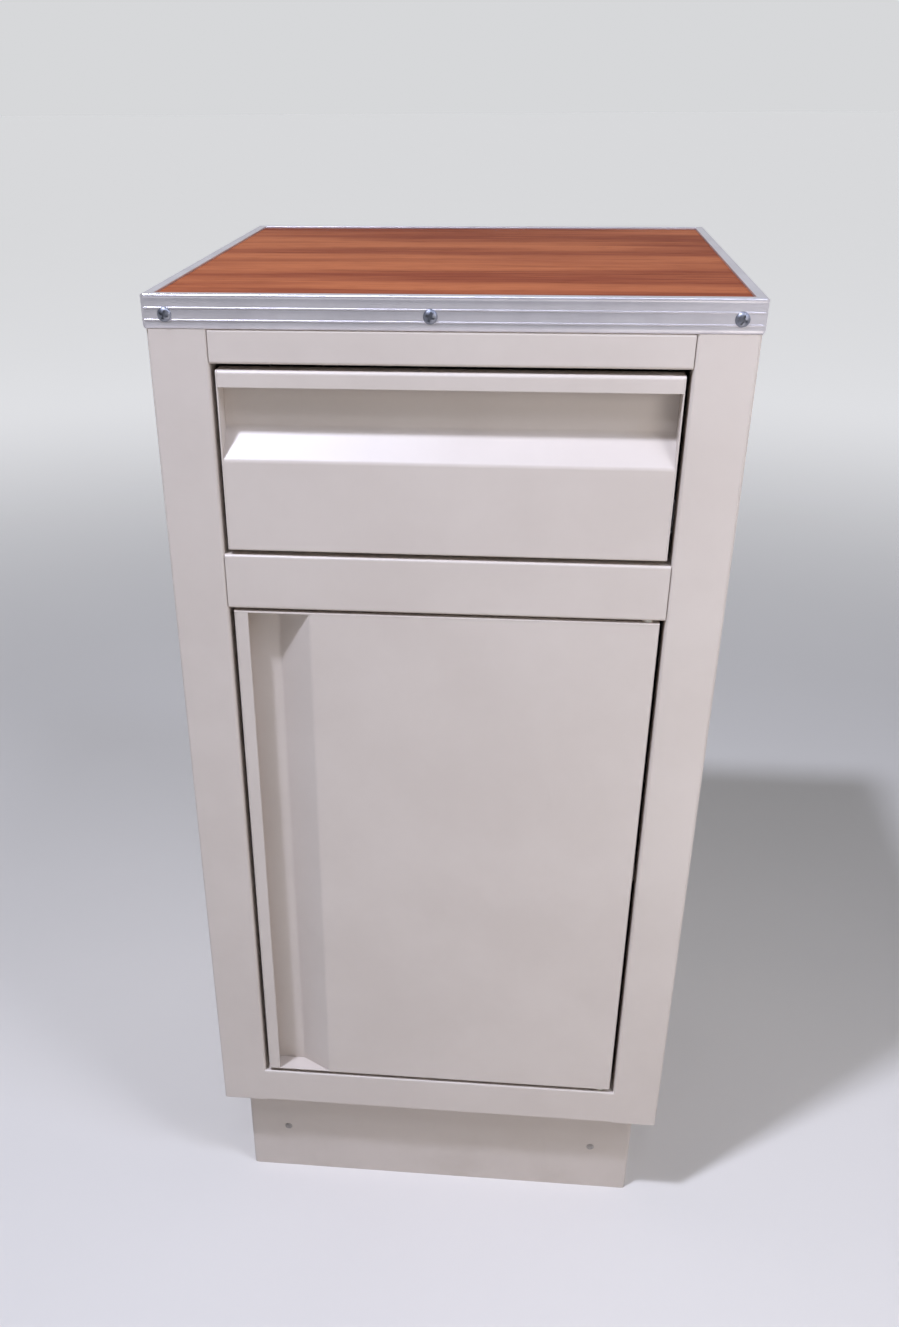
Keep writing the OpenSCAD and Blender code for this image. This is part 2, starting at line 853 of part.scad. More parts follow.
module door_skin() {
    edge_x = -front_panel_w / 2;
    hinge_x = front_panel_w / 2;
    color(paint) translate([0, 0, door_bottom + sheet_t])
        linear_extrude(door_top - door_bottom - 2 * sheet_t)
            folded([
                [edge_x + door_lip_w, front_y + sheet_t],
                [edge_x + sheet_t, front_y + sheet_t],
                [edge_x + sheet_t, front_y + pull_d],
                [edge_x + door_pull_crease, front_y + pull_d],
                [edge_x + door_pull_foot, front_y],
                [hinge_x, front_y],
                [hinge_x, panel_back_y],
                [hinge_x - door_return_w, panel_back_y]
            ]);
}

module door_end_plates() {
    color(paint) difference() {
        for (z = [door_bottom, door_top - sheet_t])
            span([-front_panel_w / 2, front_y, z], [front_panel_w / 2, panel_back_y, z + sheet_t]);
        pin_z(door_bottom - 1, door_top + 1, bush_d + 2 * pin_play, pivot_x, pivot_y);
    }
}

module door_inner_panel() {
    color(paint) span([-front_panel_w / 2, panel_back_y, door_bottom],
                      [front_panel_w / 2, panel_back_y + sheet_t, door_top]);
}

// A flanged bush pushed up through a plate whose outer face is at z = 0
module pivot_bush() {
    difference() {
        union() {
            cylinder(h = bush_len, d = bush_d);
            translate([0, 0, sheet_t]) cylinder(h = bush_flange_t, d = bush_flange_d);
        }
        translate([0, 0, -1]) cylinder(h = bush_len + 2, d = pivot_d + 2 * pin_play);
    }
}

module pivot_bushes() {
    color(nylon) {
        translate([pivot_x, pivot_y, door_bottom]) pivot_bush();
        translate([pivot_x, pivot_y, door_top]) mirror([0, 0, 1]) pivot_bush();
    }
}

// A pivot pin whose head rests on a strip's fold and whose shank points along +Z
module pivot_pin(gap) {
    color(zinc) {
        translate([0, 0, -pivot_head_h]) cylinder(h = pivot_head_h, d = pivot_head_d);
        cylinder(h = gap + bush_len, d = pivot_d);
    }
}

module lower_pivot_pin() {
    translate([pivot_x, pivot_y, bottom_top - 2 * sheet_t]) pivot_pin(2 * sheet_t + door_bottom_gap);
}

module upper_pivot_pin() {
    translate([pivot_x, pivot_y, mid_bottom + sheet_t])
        mirror([0, 0, 1]) pivot_pin(sheet_t + door_top_gap);
}

module pivot_washer(z0, z1) {
    difference() {
        pin_z(z0, z1, bush_d, pivot_x, pivot_y);
        pin_z(z0 - 1, z1 + 1, pivot_d + 2 * pin_play, pivot_x, pivot_y);
    }
}

module pivot_washers() {
    color(nylon) {
        pivot_washer(bottom_top, door_bottom - run_gap);
        pivot_washer(door_top + run_gap, mid_bottom);
    }
}

module catch_strike() {
    z = mid_bottom - catch_h / 2 - 1;
    y0 = panel_back_y + sheet_t;
    color(zinc) span([-catch_x - strike_w / 2, y0, z - strike_h / 2],
                     [-catch_x + strike_w / 2, y0 + strike_t, z + strike_h / 2]);
}

left_side_panel();
right_side_panel();
back_panel();
back_panel_rivets();
floor_pan();
top_rail();
mid_rail();
bottom_rail();
rear_top_rail();
top_board();
top_laminate();
edging_front();
edging_rear();
edging_left();
edging_right();
edging_screws();
top_fixing_screws();
plinth_front();
plinth_rear();
plinth_left();
plinth_right();
plinth_corner_brackets();
plinth_rivets();
shelf();
shelf_studs();
left_runner_bracket();
right_runner_bracket();
left_cabinet_runner();
right_cabinet_runner();
runner_screws();
fixed_roller_pins();
upper_pivot_pin();
lower_pivot_pin();
pivot_washers();
catch_housing();
catch_magnet();
catch_screws();
drawer_front();
drawer_front_cheeks();
drawer_tray();
left_drawer_runner();
right_drawer_runner();
drawer_runner_rivets();
riding_roller_pins();
left_fixed_roller();
right_fixed_roller();
left_riding_roller();
right_riding_roller();
door_skin();
door_end_plates();
door_inner_panel();
pivot_bushes();
catch_strike();
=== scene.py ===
# %% [markdown]
# # A bedside cabinet in folded sheet steel
# The cabinet arrives as an exact CAD frame: every sub-part has its real place and size, but its
# sheets have knife-sharp folds and one flat colour. This lesson keeps every place and size, and
# rebuilds what shows as folded, bent and turned metal, then gives each surface its finish.

# %% Load the frame
import json
import math

import bmesh
import bpy
from mathutils import Matrix, Vector


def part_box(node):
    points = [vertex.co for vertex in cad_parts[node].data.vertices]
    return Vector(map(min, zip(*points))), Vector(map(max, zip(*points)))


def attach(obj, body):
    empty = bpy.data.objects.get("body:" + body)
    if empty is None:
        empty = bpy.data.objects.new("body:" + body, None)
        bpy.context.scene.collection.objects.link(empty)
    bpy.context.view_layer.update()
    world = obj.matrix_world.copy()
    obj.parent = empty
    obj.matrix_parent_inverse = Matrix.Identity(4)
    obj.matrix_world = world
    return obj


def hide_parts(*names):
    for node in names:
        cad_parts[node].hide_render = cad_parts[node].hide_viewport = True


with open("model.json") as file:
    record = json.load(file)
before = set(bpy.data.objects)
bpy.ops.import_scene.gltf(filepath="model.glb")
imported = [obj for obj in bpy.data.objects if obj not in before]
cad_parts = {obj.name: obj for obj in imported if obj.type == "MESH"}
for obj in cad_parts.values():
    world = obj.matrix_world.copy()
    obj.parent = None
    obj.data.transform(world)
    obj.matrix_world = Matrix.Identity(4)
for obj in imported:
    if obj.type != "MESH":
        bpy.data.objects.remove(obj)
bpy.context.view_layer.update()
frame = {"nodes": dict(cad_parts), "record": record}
MM = 0.001

# %% [markdown]
# ## Shader maths that reads like maths
# A material is a net of nodes. Written out by hand, even `1 - mask` takes five lines. Groups or a
# file of ready materials would hide how they work, so one small class wraps an output socket and
# turns Python's operators into Math nodes.

# %% A wire with operators
class Wire:
    """An output socket of a net, with Python's operators as Math nodes."""

    def __init__(self, net, socket):
        self.net, self.socket = net, socket

    def math(self, operation, first, second):
        return self.net.node("Math", {"operation": operation}, {0: first, 1: second})

    def __add__(self, other):
        return self.math("ADD", self, other)

    def __sub__(self, other):
        return self.math("SUBTRACT", self, other)

    def __rsub__(self, other):
        return self.math("SUBTRACT", other, self)

    def __mul__(self, other):
        return self.math("MULTIPLY", self, other)

    __radd__ = __add__
    __rmul__ = __mul__

    def between(self, low, high, bottom=0.0, top=1.0):
        """bottom up to low, top from high on, and a smooth step between them."""
        ends = {"Value": self, "From Min": low, "From Max": high, "To Min": bottom, "To Max": top}
        return self.net.node("MapRange", {"interpolation_type": "SMOOTHSTEP"}, ends)


print("a wire can do:", ", ".join(name for name in vars(Wire) if not name.startswith("__init")))

# %% [markdown]
# ## One way to add a node
# Every other node, from a noise to a light path, comes from one method that takes its type, its
# settings and what goes into its sockets: a number, a colour or another wire.

# %% A net of nodes
class Net:
    """A tree of shader nodes."""

    def __init__(self, tree):
        self.tree = tree

    def node(self, kind, settings=None, inputs=None, output=0):
        made = self.tree.nodes.new("ShaderNode" + kind)
        for label, value in (settings or {}).items():
            setattr(made, label, value)
        for label, value in (inputs or {}).items():
            self.feed(made.inputs[label], value)
        return Wire(self, made.outputs[output])

    def feed(self, socket, value):
        if isinstance(value, Wire):
            self.tree.links.new(value.socket, socket)
        else:
            socket.default_value = value


print("a net can do:", ", ".join(name for name in vars(Net) if not name.startswith("_")))

# %% [markdown]
# ## A finish under construction
# A finish is a net whose last node is the Principled shader. A value that is the same all over is
# set on the shader's own socket; what changes over the surface is wired in. Patterns sit in Object
# coordinates, so they stay put on the steel when a drawer or a door moves.

# %% A finish
class Finish(Net):
    """A material whose shader is fed by name, such as Base_Color=wire or Roughness=0.4."""

    def __init__(self, name, **constants):
        self.material = bpy.data.materials.new(name)
        self.material.use_nodes = True
        super().__init__(self.material.node_tree)
        self.wear(**constants)

    def wear(self, **values):
        shader = self.tree.nodes["Principled BSDF"]
        for label, value in values.items():
            self.feed(shader.inputs[label.replace("_", " ")], value)
        return self.material

    def place(self, scale=(1, 1, 1), shift=(0, 0, 0)):
        """Object coordinates in metres, stretched and shifted."""
        here = self.node("TexCoord", output="Object")
        return self.node("Mapping", None, {"Vector": here, "Scale": scale, "Location": shift})

    def noise(self, size, scale=(1, 1, 1), detail=3.0, rough=0.5, warp=0.0):
        """Noise whose blobs are about size metres across before they are stretched."""
        inputs = {"Vector": self.place(scale), "Scale": 1 / size, "Detail": detail,
                  "Roughness": rough, "Distortion": warp}
        return self.node("TexNoise", None, inputs)

    def mosaic(self, count, scale=(1, 1, 1)):
        """A grey for each cell of a mosaic with count cells to the metre."""
        cells = self.node("TexVoronoi", None, {"Vector": self.place(scale), "Scale": count}, "Color")
        return self.node("RGBToBW", None, {"Color": cells})

    def mix(self, factor, first, second):
        settings = {"data_type": "RGBA", "clamp_factor": True}
        return self.node("Mix", settings, {0: factor, 6: first, 7: second}, output=2)

    def bump(self, height, depth, under=None):
        inputs = {"Height": height, "Distance": depth}
        if under:
            inputs["Normal"] = under
        return self.node("Bump", None, inputs)


def rgb(red, green, blue):
    """A colour socket's value from linear red, green and blue."""
    return (red, green, blue, 1.0)


print("a finish can do:", ", ".join(name for name in vars(Finish) if not name.startswith("_")))

# %% [markdown]
# ## Powder coat
# Powder coat is baked plastic on steel. Up close it has an orange-peel texture about 1.5 mm across
# and a few microns deep; from further off the thin sheet under it is never quite flat, so what it
# reflects wanders a little. Low down it turns faintly darker and browner in patches. Noise at each
# of these sizes, measured in metres, gives all of it and never repeats.

# %% Powder coat finish
PEEL_DEPTH = 0.012 * MM
SHEET_WANDER = 1.2 * MM
DARKER_BELOW = 140 * MM
UPRIGHT_STRETCH = (1, 1, 0.25)
# A darker brown that the coat turns to low down and where it is scuffed.
darker_brown = rgb(0.40, 0.34, 0.28)


def powder_coat():
    coat = Finish("powder_coat", IOR=1.5)
    peel = coat.noise(1.6 * MM, detail=2.0, rough=0.4)
    wander = coat.noise(170 * MM, detail=1.0)
    tint = coat.noise(90 * MM, detail=4.0, rough=0.6)
    scuffs = coat.noise(30 * MM, UPRIGHT_STRETCH, detail=6.0, rough=0.7, warp=0.4).between(0.63, 0.78)
    height = coat.node("SeparateXYZ", None, {"Vector": coat.place()}, output="Z")
    # A patchy, faintly darker and browner tone towards the floor, below the line set above.
    near_floor_darker = (1 - height.between(0.0, DARKER_BELOW)) * tint.between(0.35, 0.75)
    clean = coat.mix(tint.between(0.3, 0.7), rgb(0.605, 0.535, 0.478), rgb(0.635, 0.565, 0.507))
    colour = coat.mix(near_floor_darker * 0.4 + scuffs * 0.05, clean, darker_brown)
    skin = coat.bump(peel, PEEL_DEPTH, under=coat.bump(wander, SHEET_WANDER))
    return coat.wear(Base_Color=colour, Roughness=0.36 + peel * 0.05 + scuffs * 0.18, Normal=skin)


FINISHES = {"powder_coat": powder_coat()}
# The last height printed is where the coat stops turning darker towards the floor.
print("powder coat peels", PEEL_DEPTH / MM, "mm deep and is browned up to", DARKER_BELOW / MM, "mm")

# %% [markdown]
# ## Cherry laminate
# The top is a printed laminate: broad lighter and darker bands a few centimetres deep, a finer
# figure between them, fine pores drawn out along the grain, and a dull lacquer. A wave texture
# gives rings like a sawn log's; noise stretched along X gives the straight grain of a print.

# %% Cherry laminate finish
BAND_STRETCH, FIGURE_STRETCH = (0.11, 1, 1), (0.05, 1, 1)
GRAIN_STRETCH, PORE_STRETCH = (0.02, 1, 1), (0.03, 1, 1)
PORE_DEPTH = 0.02 * MM
cherry_dark, cherry_light = rgb(0.205, 0.035, 0.010), rgb(0.410, 0.118, 0.041)
figure_dark, grain_light = rgb(0.140, 0.020, 0.005), rgb(0.46, 0.136, 0.050)
pore_dark = rgb(0.09, 0.015, 0.005)


def cherry_laminate():
    wood = Finish("cherry_laminate", IOR=1.45, Specular_IOR_Level=0.06)
    bands = wood.noise(44 * MM, BAND_STRETCH, detail=3.0, warp=0.25)
    figure = wood.noise(11 * MM, FIGURE_STRETCH, detail=5.0, rough=0.62, warp=0.5)
    grain = wood.noise(2.6 * MM, GRAIN_STRETCH, detail=3.0, rough=0.6)
    pores = wood.noise(0.9 * MM, PORE_STRETCH, detail=2.0).between(0.58, 0.7)
    tone = wood.mix(bands.between(0.36, 0.64), cherry_dark, cherry_light)
    tone = wood.mix(figure.between(0.46, 0.68) * 0.48, tone, figure_dark)
    tone = wood.mix(grain.between(0.45, 0.62) * 0.40, tone, grain_light)
    tone = wood.mix(pores * 0.55, tone, pore_dark)
    relief = wood.bump(pores, -PORE_DEPTH)
    return wood.wear(Base_Color=tone, Roughness=0.50 + figure * 0.08 + pores * 0.12, Normal=relief)


FINISHES["cherry_laminate"] = cherry_laminate()
print("the grain is drawn out", round(1 / GRAIN_STRETCH[0]), "times along X")

# %% [markdown]
# ## Edging aluminium
# The edging is an extrusion: the die leaves fine scratches along its length. An anisotropic shader
# could stretch the highlight, but bump from stretched noise also shows the scratches close up. The
# side strips run along Y, so they get the same finish with its stretch turned.

# %% Edging aluminium finish
SCRATCH_DEPTH = 0.001 * MM


def edging_aluminium(name, stretch):
    alu = Finish(name, Metallic=0.88)
    lines = alu.noise(0.9 * MM, stretch, detail=2.0, rough=0.5)
    dull = alu.noise(40 * MM, detail=4.0, rough=0.6)
    colour = alu.mix(dull.between(0.35, 0.7), rgb(0.77, 0.74, 0.77), rgb(0.69, 0.66, 0.69))
    shine = 0.34 + lines * 0.05 + dull * 0.06
    return alu.wear(Base_Color=colour, Roughness=shine, Normal=alu.bump(lines, SCRATCH_DEPTH))


for name, stretch in (("edging_aluminium", (0.02, 1, 1)), ("edging_aluminium_sides", (1, 0.02, 1))):
    FINISHES[name] = edging_aluminium(name, stretch)
    print(name, "stretches its noise by", stretch)

# %% [markdown]
# ## Zinc plate and painted rivets
# Zinc plate is bluish, cloudy where it has dulled, and faintly mottled by its crystals. The runners
# are bright; the screws in the edging wear a darker copy of the zinc, a painted dark reflection of
# the dim room in front of them. The plinth's rivets were painted with it and have since worn and greyed.

# %% Zinc and rivet finishes
CRYSTALS = 90.0


def zinc_steel(name, bright, dull, gloss):
    zinc = Finish(name, Metallic=0.9)
    cloud = zinc.noise(7 * MM, detail=4.0, rough=0.6)
    spangle = zinc.mosaic(CRYSTALS)
    colour = zinc.mix(cloud.between(0.35, 0.65), bright, dull)
    colour = zinc.mix(spangle * 0.25, colour, dull)
    shine = gloss + cloud * 0.12 + spangle * 0.06
    return zinc.wear(Base_Color=colour, Roughness=shine, Normal=zinc.bump(cloud, 0.02 * MM))


def painted_rivet():
    dark = Finish("painted_rivet")
    fleck = dark.noise(1.5 * MM, detail=3.0)
    colour = dark.mix(fleck.between(0.4, 0.6), rgb(0.30, 0.275, 0.26), rgb(0.42, 0.385, 0.36))
    return dark.wear(Base_Color=colour, Roughness=0.42 + fleck * 0.2, Normal=dark.bump(fleck, 0.03 * MM))


for name, bright, dull, gloss in (
    ("zinc_steel", rgb(0.66, 0.67, 0.70), rgb(0.50, 0.51, 0.55), 0.42),
    # This darker copy for the screws is a painted dark reflection of the dim room in front of them.
    ("zinc_screws_painted_dark_reflection", rgb(0.33, 0.34, 0.38), rgb(0.19, 0.20, 0.235), 0.34),
):
    FINISHES[name] = zinc_steel(name, bright, dull, gloss)
    print(name, "has a roughness from", gloss)
FINISHES["painted_rivet"] = painted_rivet()

# %% [markdown]
# ## Nylon, chipboard and ferrite
# These are seen only when the drawer or the door is open, or from below. Nylon is slightly
# translucent, chipboard is a mosaic of pale and brown chips, and a ferrite magnet is a dull, dark
# ceramic.

# %% Other finishes
CHIPS = 420.0
FLAT_CHIPS = (1, 1, 2.2)


def nylon():
    soft = Finish("nylon", IOR=1.53, Subsurface_Weight=0.15, Subsurface_Scale=2 * MM)
    mould = soft.noise(2 * MM, detail=3.0)
    colour = soft.mix(mould.between(0.35, 0.65), rgb(0.74, 0.73, 0.68), rgb(0.68, 0.67, 0.61))
    return soft.wear(Base_Color=colour, Roughness=0.4 + mould * 0.12, Normal=soft.bump(mould, 0.01 * MM))


def chipboard():
    board = Finish("chipboard")
    shade = board.mosaic(CHIPS, FLAT_CHIPS)
    colour = board.mix(shade, rgb(0.30, 0.18, 0.09), rgb(0.62, 0.46, 0.28))
    return board.wear(Base_Color=colour, Roughness=0.8 + shade * 0.1, Normal=board.bump(shade, 0.1 * MM))


def magnet():
    ferrite = Finish("magnet")
    grit = ferrite.noise(0.8 * MM, detail=4.0, rough=0.7)
    colour = ferrite.mix(grit, rgb(0.028, 0.028, 0.03), rgb(0.07, 0.07, 0.072))
    return ferrite.wear(Base_Color=colour, Roughness=0.5 + grit * 0.2, Normal=ferrite.bump(grit, 0.02 * MM))


FINISHES.update(nylon=nylon(), chipboard=chipboard(), magnet=magnet())
print("finishes:", ", ".join(FINISHES))

# %% [markdown]
# ## Dress the CAD nodes
# Every CAD node first gets the finish of its own slot. Nodes whose shape is already right, such as
# the flat laminate, the back panel and the pins, keep it; the others are replaced further down.

# %% Finish every CAD node
for part in frame["record"]["subparts"]:
    for slot in frame["nodes"][part["node"]].material_slots:
        slot.material = FINISHES[part["material_slot"]]

# %% [markdown]
# ## From bmesh to finished piece
# Each new piece is built in a bmesh, in metres, in the cabinet's own frame, so its object can stay
# at the origin. Edges sharper than 40 degrees stay crisp, and the Weighted Normal modifier keeps
# the big flat faces flat while the narrow bends between them shade as true curves.

# %% Piece helper
CRISP_ANGLE = math.radians(40)


def piece(name, bm, slot, body, *nodes, material=None):
    """Makes an object of a bmesh: it rides on a body, stands for CAD nodes and wears a finish."""
    mesh = bpy.data.meshes.new(name)
    bm.to_mesh(mesh)
    bm.free()
    mesh.shade_smooth()
    mesh.set_sharp_from_angle(angle=CRISP_ANGLE)
    mesh.materials.append(FINISHES[material or slot])
    obj = bpy.data.objects.new(name, mesh)
    bpy.context.scene.collection.objects.link(obj)
    even = obj.modifiers.new("even shading", "WEIGHTED_NORMAL")
    even.keep_sharp = True
    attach(obj, body)
    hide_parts(*nodes)
    print(f"{name}: {len(mesh.polygons)} faces")
    return obj


def corners(node):
    """A CAD node's lowest and highest corners as vectors."""
    low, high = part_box(node)
    return Vector(low), Vector(high)


print("edges stay crisp above", round(math.degrees(CRISP_ANGLE)), "degrees")

# %% [markdown]
# ## Points across an axis, and rounded cut edges
# Most shapes here are drawn across one axis and run along it, so a small helper turns (u, v, w)
# into a point for any axis. A burr-free cut edge always catches a thin line of light, so every
# edge that is still a right angle gets a small round; a Bevel modifier would round it too, but
# would leave nothing to measure.

# %% Points and cut edges
PLACES = {"X": (1, 2, 0), "Y": (0, 2, 1), "Z": (0, 1, 2)}
CUT_ROUND, CUT_STEPS = 0.22 * MM, 2
CUT_ANGLE = math.radians(60)
SAME_PLACE = 1e-6


def spot(axis, u, v, w):
    """The point at (u, v) across an axis and w along it."""
    at = Vector((0, 0, 0))
    for place, value in zip(PLACES[axis], (u, v, w)):
        at[place] = value
    return at


def along(bm, axis):
    """The edges of a bmesh that run along an axis."""
    way = spot(axis, 0, 0, 1)
    return [e for e in bm.edges if abs((e.verts[0].co - e.verts[1].co).dot(way)) > SAME_PLACE]


def bevel(bm, edges, size, segments):
    """Rounds edges, with the settings that an edge bevel has in the editor."""
    bmesh.ops.bevel(bm, geom=edges, offset=size, offset_type="OFFSET", segments=segments,
                    profile=0.5, affect="EDGES", material=-1, clamp_overlap=True)


def round_cut_edges(bm):
    """Takes the burr off every edge that is sharper than a bend."""
    bevel(bm, [e for e in bm.edges if e.calc_face_angle(0.0) > CUT_ANGLE], CUT_ROUND, CUT_STEPS)


print("cut edges are rounded by", CUT_ROUND / MM, "mm")

# %% [markdown]
# ## Folding sheet steel
# A press brake folds flat sheet along straight lines. A Solidify and a Bevel modifier on a profile
# could do it, but a round of its own at each fold comes from the operators: draw the fold line,
# extrude it into a ribbon, bevel each fold into a bend, and give the ribbon its thickness, which
# goes to the left of the line.

# %% Folding helper
SHEET = 1.0 * MM
BEND = 2.2 * MM
BEND_STEPS = 6


def fold(line, axis, start, stop, thickness=SHEET, bend=BEND):
    """A sheet folded along a line of (u, v) points and run along an axis from start to stop."""
    bm = bmesh.new()
    verts = [bm.verts.new(spot(axis, u, v, start)) for u, v in line]
    edges = [bm.edges.new(pair) for pair in zip(verts, verts[1:])]
    grown = bmesh.ops.extrude_edge_only(bm, edges=edges)["geom"]
    moved = [g for g in grown if isinstance(g, bmesh.types.BMVert)]
    bmesh.ops.translate(bm, verts=moved, vec=spot(axis, 0, 0, stop - start))
    (u0, v0), (u1, v1) = line[:2]
    left = spot(axis, v0 - v1, u1 - u0, 0)
    first = next(f for f in bm.faces if verts[0] in f.verts)
    first.normal_update()
    if first.normal.dot(left) > 0:
        bmesh.ops.reverse_faces(bm, faces=bm.faces[:])
    bevel(bm, [e for e in bm.edges if len(e.link_faces) == 2], bend, BEND_STEPS)
    bm.normal_update()
    bmesh.ops.solidify(bm, geom=bm.faces[:], thickness=thickness)
    bmesh.ops.recalc_face_normals(bm, faces=bm.faces[:])
    round_cut_edges(bm)
    return bm


print("sheet", SHEET / MM, "mm thick, bent to", BEND / MM, "mm")

# %% [markdown]
# ## Flat blanks, joins and mirror images
# End plates, flanges and liners are flat blanks with rounded corners. A cube, scaled to the blank
# and bevelled along one axis, gives the corners; a second bevel takes off the burr. Several closed
# shells can share one mesh, as spot-welded plates share one part, so a join simply collects them.

# %% Plate, join and mirror helpers
CORNER_STEPS = 5


def block(low, high):
    """A cube scaled and moved to lie between two corners."""
    bm = bmesh.new()
    bmesh.ops.create_cube(bm, size=1.0)
    bmesh.ops.scale(bm, verts=bm.verts, vec=high - low)
    bmesh.ops.translate(bm, verts=bm.verts, vec=(low + high) / 2)
    return bm


def plate(low, high, axis="Z", corner=0.0):
    """A flat blank from low to high, its four corners rounded about an axis."""
    bm = block(Vector(low), Vector(high))
    if corner:
        bevel(bm, along(bm, axis), corner, CORNER_STEPS)
    bm.normal_update()
    round_cut_edges(bm)
    return bm


def join(*parts):
    """The closed shells of several bmeshes in one bmesh."""
    whole = bmesh.new()
    for part in parts:
        mesh = bpy.data.meshes.new("part")
        part.to_mesh(mesh)
        part.free()
        whole.from_mesh(mesh)
        bpy.data.meshes.remove(mesh)
    return whole


def mirrored(bm):
    """The same shape on the other side of the cabinet."""
    twin = bm.copy()
    bmesh.ops.scale(twin, verts=twin.verts, vec=(-1, 1, 1))
    bmesh.ops.reverse_faces(twin, faces=twin.faces[:])
    return twin


sample = plate((0, 0, 0), (1, 1, SHEET))
print("a plate with rounded cut edges has", len(sample.faces), "faces")
sample.free()

# %% [markdown]
# ## The side panels
# Each side, with its front post and its rear edge, is one sheet folded four times, so the corners
# of the cabinet are smooth bends. Flanges at the top and the bottom carry the board and stiffen
# the foot. Making the pair from one mirrored blank keeps them true to each other.

# %% Side panels
panel_low, panel_high = corners("left_side_panel")
rail_low, rail_high = corners("top_rail")
POST_X = rail_low.x
POST_RETURN = 20 * MM
FLANGE = 26 * MM
BODY_BEND = 2.6 * MM
WELD_STEP = 0.15 * MM

side_line = [(panel_low.x + FLANGE, panel_high.y), (panel_low.x, panel_high.y),
             (panel_low.x, panel_low.y), (POST_X, panel_low.y), (POST_X, panel_low.y + POST_RETURN)]
wall = fold(side_line, "Z", panel_low.z, panel_high.z, bend=BODY_BEND)
flanges = [plate((panel_low.x + WELD_STEP, panel_low.y + WELD_STEP, z),
                 (panel_low.x + FLANGE, panel_high.y - WELD_STEP, z + SHEET), corner=BODY_BEND)
           for z in (panel_low.z, panel_high.z - SHEET)]
left_side = join(wall, *flanges)
right_side = mirrored(left_side)
piece("left_side", left_side, "powder_coat", "cabinet", "left_side_panel")
piece("right_side", right_side, "powder_coat", "cabinet", "right_side_panel")

# %% [markdown]
# ## The rails
# The front strips between the posts are channels: a face with a fold at its top and its bottom.
# The bottom strip is welded to the posts and ground flush before painting, so its face runs a
# little over the joint, a hair proud, and hides it.

# %% Rails
RAIL_BEND = 1.9 * MM
RAIL_DEPTH = rail_high.y - rail_low.y
JOINT_COVER, PROUD = 2.4 * MM, 0.04 * MM


def rail(node, top_depth, bottom_depth, grow=0.0, proud=0.0):
    low, high = corners(node)
    front = low.y - proud
    line = [(front + top_depth, high.z), (front, high.z), (front, low.z), (front + bottom_depth, low.z)]
    return fold(line, "X", low.x - grow, high.x + grow, bend=RAIL_BEND)


for node, lower in (("top_rail", POST_RETURN), ("mid_rail", RAIL_DEPTH)):
    piece(node + "_folded", rail(node, RAIL_DEPTH, lower), "powder_coat", "cabinet", node)
piece("bottom_rail_folded", rail("bottom_rail", RAIL_DEPTH, POST_RETURN, JOINT_COVER, PROUD),
      "powder_coat", "cabinet", "bottom_rail")

# %% [markdown]
# ## The plinth
# The recessed plinth is a band of sheet bent round the corners. Its front and rear walls turn the
# corner and meet the side walls a little way back, where nobody looks for the joint.

# %% Plinth
TURN = 12 * MM
PLINTH_BEND = 3 * MM
plinth_low, plinth_high = corners("plinth_front")
half_w, front_y, plinth_top = plinth_high.x, plinth_low.y, plinth_high.z
flange_in = plinth_high.y - plinth_low.y


def plinth_end():
    """The wall that wraps round both front corners, with its flanges."""
    line = [(-half_w, front_y + TURN), (-half_w, front_y), (half_w, front_y), (half_w, front_y + TURN)]
    parts = [fold(line, "Z", 0.0, plinth_top, bend=PLINTH_BEND)]
    for z in (0.0, plinth_top - SHEET):
        low = (-half_w + SHEET, front_y + SHEET, z)
        parts.append(plate(low, (half_w - SHEET, front_y + flange_in, z + SHEET)))
    return join(*parts)


def plinth_side():
    """The plain wall on the left, with its flanges."""
    back = -front_y - TURN
    parts = [plate((-half_w, front_y + TURN, 0.0), (-half_w + SHEET, back, plinth_top), "X")]
    for z in (0.0, plinth_top - SHEET):
        low = (-half_w + SHEET, front_y + flange_in, z)
        parts.append(plate(low, (-half_w + flange_in, -front_y - flange_in, z + SHEET)))
    return join(*parts)


rear = plinth_end()
bmesh.ops.rotate(rear, verts=rear.verts, matrix=Matrix.Rotation(math.pi, 3, "Z"))
piece("plinth_front_wrap", plinth_end(), "powder_coat", "cabinet", "plinth_front")
piece("plinth_rear_wrap", rear, "powder_coat", "cabinet", "plinth_rear")
piece("plinth_left_wall", plinth_side(), "powder_coat", "cabinet", "plinth_left")
piece("plinth_right_wall", mirrored(plinth_side()), "powder_coat", "cabinet", "plinth_right")

# %% [markdown]
# ## The drawer front
# One sheet makes the lip, the back of the finger pull, its sloping mouth and the face; the
# fingers go in above the slope and hook behind the lip. Two end cheeks close the pull. They are
# separate plates, so their painted edges show as thin bright lines down both ends. A box with the
# pull cut out of it would look alike from the front, but thick and solid from the open side.

# %% Drawer front
face_low, face_high = corners("drawer_front")
cheek_low, cheek_high = corners("drawer_front_cheeks")
PULL_DEPTH = 16 * MM
LIP = 11 * MM
CREASE, FOOT = 40 * MM, 60 * MM
RETURN = 20 * MM
PANEL_BEND = 1.5 * MM
PLATE_CORNER = 1.6 * MM
top = face_high.z
drawer_line = [
    (face_low.y + SHEET, top - LIP),
    (face_low.y + SHEET, top - SHEET),
    (face_low.y + PULL_DEPTH, top - SHEET),
    (face_low.y + PULL_DEPTH, top - CREASE),
    (face_low.y, top - FOOT),
    (face_low.y, face_low.z),
    (face_high.y, face_low.z),
    (face_high.y, face_low.z + RETURN),
]
piece("drawer_face", fold(drawer_line, "X", face_low.x, face_high.x, bend=PANEL_BEND),
      "powder_coat", "drawer", "drawer_front")
cheek = plate(cheek_low, (cheek_low.x + SHEET, cheek_high.y, cheek_high.z), "X", corner=PLATE_CORNER)
piece("drawer_cheeks", join(mirrored(cheek), cheek), "powder_coat", "drawer", "drawer_front_cheeks")

# %% [markdown]
# ## The door
# The door is the same idea turned on its side: lip, pull, slope and face in one sheet, plates at
# the top and the bottom, and a flat liner behind.

